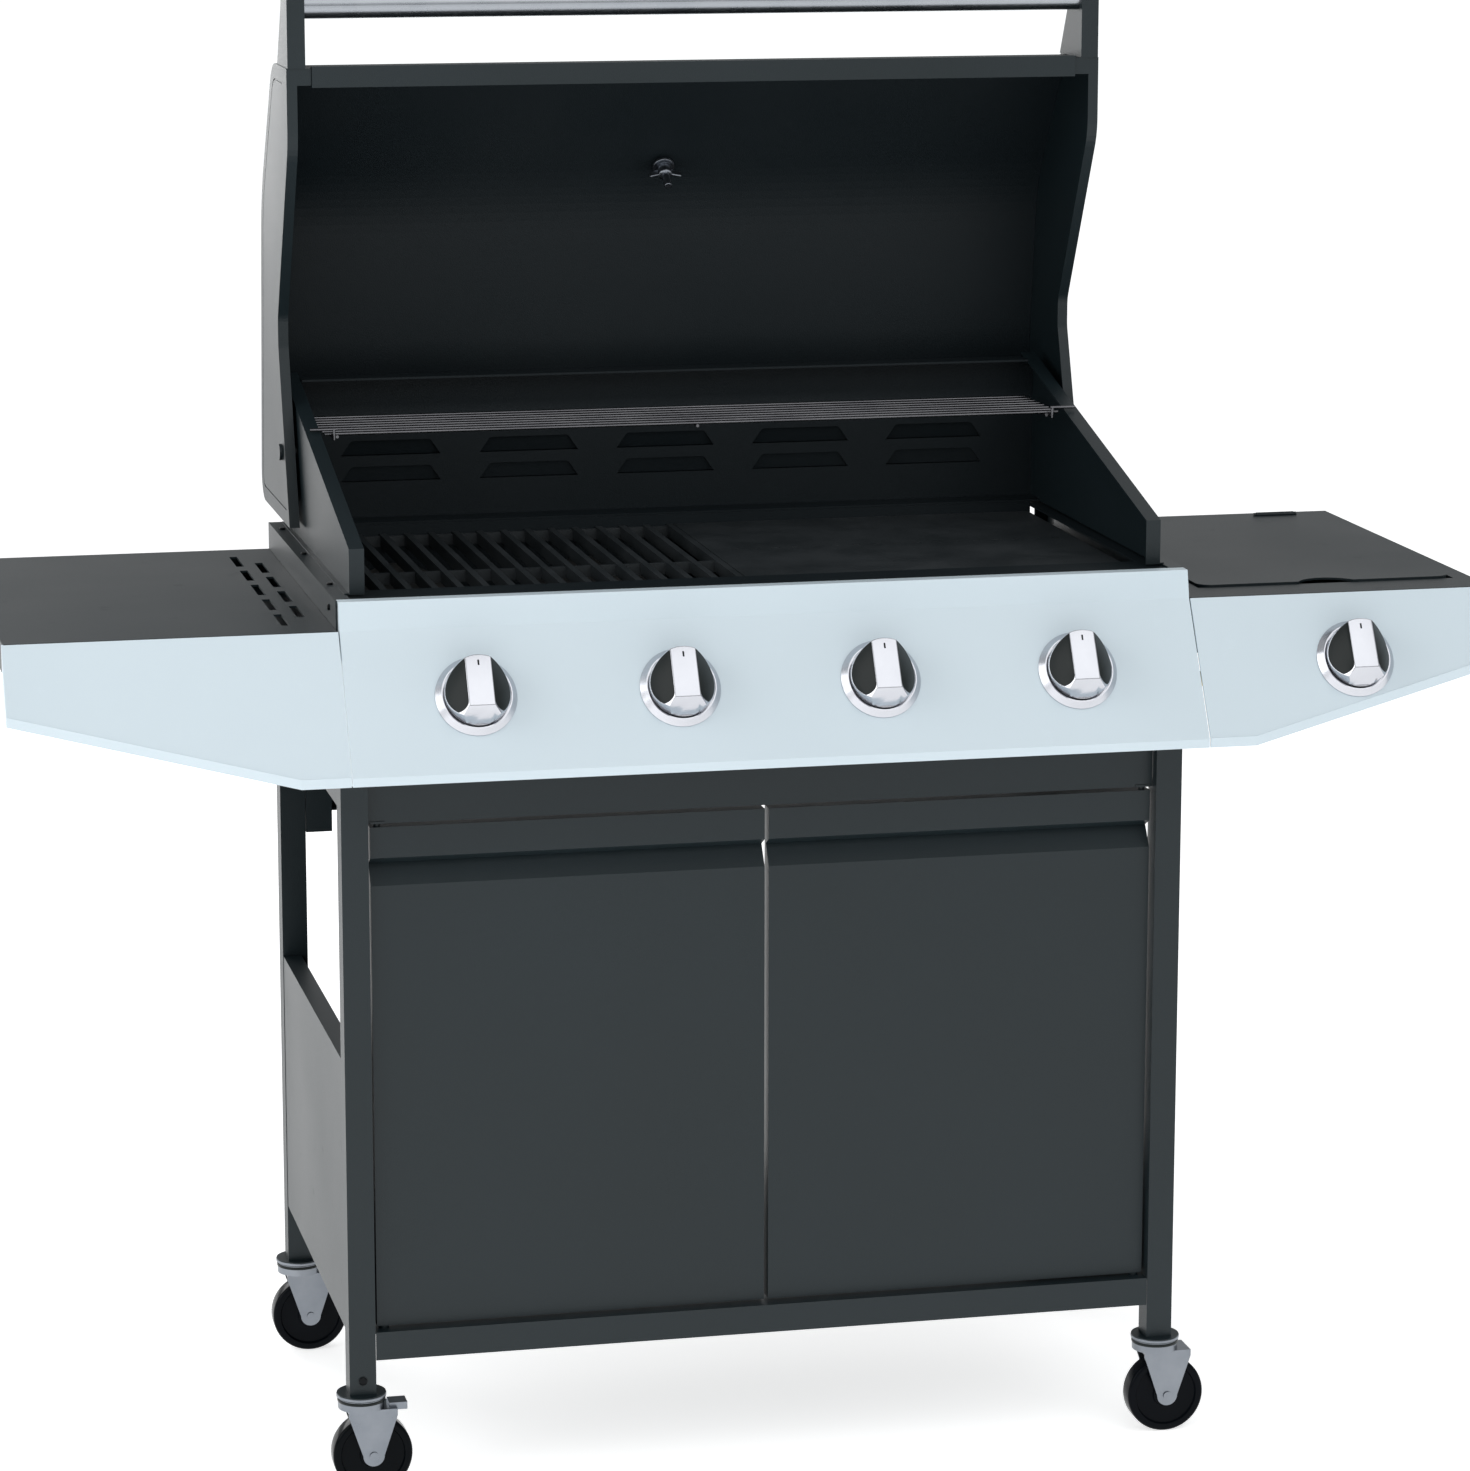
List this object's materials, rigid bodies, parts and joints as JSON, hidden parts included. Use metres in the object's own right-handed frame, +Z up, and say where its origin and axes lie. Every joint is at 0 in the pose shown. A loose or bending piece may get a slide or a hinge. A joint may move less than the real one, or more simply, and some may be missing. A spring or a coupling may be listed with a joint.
{
  "type": "gas barbecue grill",
  "caption": "Gas barbecue on a wheeled two-door cabinet, with open hinged lid, grate and griddle, side shelf and lidded side burner.",
  "frame": {"origin": "on the floor, under the middle of the overall box", "axes": "+X to the cook's right, +Y to the back, +Z up"},
  "size_m": [1.404, 0.6153, 1.379],
  "materials": {
    "dark_paint": "satin powder coat",
    "inner_enamel": "satin black enamel",
    "silver_paint": "satin silver",
    "chrome": "polished",
    "bar_steel": "brushed",
    "steel": "plain",
    "cast_iron": "matt enamel",
    "rack_wire": "black chrome",
    "brass": "plain",
    "zinc": "zinc plated",
    "wheel_plastic": "semi-gloss",
    "bolt_steel": "black"
  },
  "bodies": {
    "body": {"leg_front_left": "dark_paint", "leg_front_right": "dark_paint", "leg_rear_left": "dark_paint", "leg_rear_right": "dark_paint", "bottom_shelf": "dark_paint", "rear_rail": "dark_paint", "header": "dark_paint", "side_panel_left": "dark_paint", "side_panel_right": "dark_paint", "side_aprons": "dark_paint", "firebox": "inner_enamel", "cheek_left": "dark_paint", "cheek_right": "dark_paint", "back_panel": "inner_enamel", "body_side_left": "dark_paint", "body_side_right": "dark_paint", "burners": "steel", "flame_tamers": "steel", "gas_manifold": "brass", "cooking_grate": "cast_iron", "griddle": "cast_iron", "warming_rack": "rack_wire", "control_panel": "silver_paint", "knob_bezels": "chrome", "left_shelf": "dark_paint", "left_fascia": "silver_paint", "right_shelf": "dark_paint", "right_fascia": "silver_paint", "side_burner": "steel", "pot_support": "cast_iron", "bolts": "bolt_steel"},
    "lid": {"lid_shell": "inner_enamel", "lid_end_left": "dark_paint", "lid_end_right": "dark_paint", "lid_beam": "dark_paint", "lid_handle": "bar_steel", "handle_brackets": "dark_paint", "thermometer": "bar_steel"},
    "side_lid": {"side_burner_lid": "dark_paint"},
    "door_left": {"door_left": "dark_paint"},
    "door_right": {"door_right": "dark_paint"},
    "tray": {"grease_tray": "steel"},
    "stem_1": {"stem_1": "steel"},
    "knob_1": {"knob_1": "chrome"},
    "stem_2": {"stem_2": "steel"},
    "knob_2": {"knob_2": "chrome"},
    "stem_3": {"stem_3": "steel"},
    "knob_3": {"knob_3": "chrome"},
    "stem_4": {"stem_4": "steel"},
    "knob_4": {"knob_4": "chrome"},
    "stem_5": {"stem_5": "steel"},
    "knob_5": {"knob_5": "chrome"},
    "swivel_front_left": {"fork_front_left": "zinc"},
    "roll_front_left": {"wheel_front_left": "wheel_plastic"},
    "swivel_front_right": {"fork_front_right": "zinc"},
    "roll_front_right": {"wheel_front_right": "wheel_plastic"},
    "swivel_rear_left": {"fork_rear_left": "zinc"},
    "roll_rear_left": {"wheel_rear_left": "wheel_plastic"},
    "swivel_rear_right": {"fork_rear_right": "zinc"},
    "roll_rear_right": {"wheel_rear_right": "wheel_plastic"}
  },
  "joints": [
    {"name": "lid_hinge", "type": "hinge", "parent": "body", "child": "lid", "pos_m": [0, 0.15, 0.931], "axis": [1, 0, 0], "range_deg": [0, 90]},
    {"name": "side_lid_hinge", "type": "hinge", "parent": "body", "child": "side_lid", "pos_m": [0.554, 0.2065, 0.8254], "axis": [-1, 0, 0], "range_deg": [0, 100]},
    {"name": "door_left_hinge", "type": "hinge", "parent": "body", "child": "door_left", "pos_m": [-0.365, -0.208, 0.4], "axis": [0, 0, -1], "range_deg": [0, 95]},
    {"name": "door_right_hinge", "type": "hinge", "parent": "body", "child": "door_right", "pos_m": [0.365, -0.208, 0.4], "axis": [0, 0, 1], "range_deg": [0, 95]},
    {"name": "tray_slide", "type": "slide", "parent": "body", "child": "tray", "axis": [0, 1, 0], "range_m": [0, 0.34]},
    {"name": "knob_1_turn", "type": "hinge", "parent": "body", "child": "stem_1", "pos_m": [-0.282, -0.26867, 0.76454], "axis": [0, -0.8647, 0.5023], "range_deg": [0, 180]},
    {"name": "knob_1_push", "type": "slide", "parent": "stem_1", "child": "knob_1", "axis": [0, -0.8647, 0.5023], "range_m": [-0.004, 0], "stiffness_N_per_m": 1500, "springref_m": 0.002},
    {"name": "knob_2_turn", "type": "hinge", "parent": "body", "child": "stem_2", "pos_m": [-0.094, -0.26867, 0.76454], "axis": [0, -0.8647, 0.5023], "range_deg": [0, 180]},
    {"name": "knob_2_push", "type": "slide", "parent": "stem_2", "child": "knob_2", "axis": [0, -0.8647, 0.5023], "range_m": [-0.004, 0], "stiffness_N_per_m": 1500, "springref_m": 0.002},
    {"name": "knob_3_turn", "type": "hinge", "parent": "body", "child": "stem_3", "pos_m": [0.094, -0.26867, 0.76454], "axis": [0, -0.8647, 0.5023], "range_deg": [0, 180]},
    {"name": "knob_3_push", "type": "slide", "parent": "stem_3", "child": "knob_3", "axis": [0, -0.8647, 0.5023], "range_m": [-0.004, 0], "stiffness_N_per_m": 1500, "springref_m": 0.002},
    {"name": "knob_4_turn", "type": "hinge", "parent": "body", "child": "stem_4", "pos_m": [0.282, -0.26867, 0.76454], "axis": [0, -0.8647, 0.5023], "range_deg": [0, 180]},
    {"name": "knob_4_push", "type": "slide", "parent": "stem_4", "child": "knob_4", "axis": [0, -0.8647, 0.5023], "range_m": [-0.004, 0], "stiffness_N_per_m": 1500, "springref_m": 0.002},
    {"name": "knob_5_turn", "type": "hinge", "parent": "body", "child": "stem_5", "pos_m": [0.553, -0.26867, 0.76454], "axis": [0, -0.8647, 0.5023], "range_deg": [0, 180]},
    {"name": "knob_5_push", "type": "slide", "parent": "stem_5", "child": "knob_5", "axis": [0, -0.8647, 0.5023], "range_m": [-0.004, 0], "stiffness_N_per_m": 1500, "springref_m": 0.002},
    {"name": "swivel_front_left_turn", "type": "hinge", "parent": "body", "child": "swivel_front_left", "pos_m": [-0.3875, -0.2115, 0.09], "axis": [0, 0, 1], "continuous": true},
    {"name": "wheel_front_left_spin", "type": "hinge", "parent": "swivel_front_left", "child": "roll_front_left", "pos_m": [-0.3785, -0.2115, 0.0375], "axis": [0, 1, 0], "continuous": true},
    {"name": "swivel_front_right_turn", "type": "hinge", "parent": "body", "child": "swivel_front_right", "pos_m": [0.3875, -0.2115, 0.09], "axis": [0, 0, 1], "continuous": true},
    {"name": "wheel_front_right_spin", "type": "hinge", "parent": "swivel_front_right", "child": "roll_front_right", "pos_m": [0.3965, -0.2115, 0.0375], "axis": [0, 1, 0], "continuous": true},
    {"name": "swivel_rear_left_turn", "type": "hinge", "parent": "body", "child": "swivel_rear_left", "pos_m": [-0.3875, 0.2115, 0.09], "axis": [0, 0, 1], "continuous": true},
    {"name": "wheel_rear_left_spin", "type": "hinge", "parent": "swivel_rear_left", "child": "roll_rear_left", "pos_m": [-0.3785, 0.2115, 0.0375], "axis": [0, 1, 0], "continuous": true},
    {"name": "swivel_rear_right_turn", "type": "hinge", "parent": "body", "child": "swivel_rear_right", "pos_m": [0.3875, 0.2115, 0.09], "axis": [0, 0, 1], "continuous": true},
    {"name": "wheel_rear_right_spin", "type": "hinge", "parent": "swivel_rear_right", "child": "roll_rear_right", "pos_m": [0.3965, 0.2115, 0.0375], "axis": [0, 1, 0], "continuous": true}
  ]
}
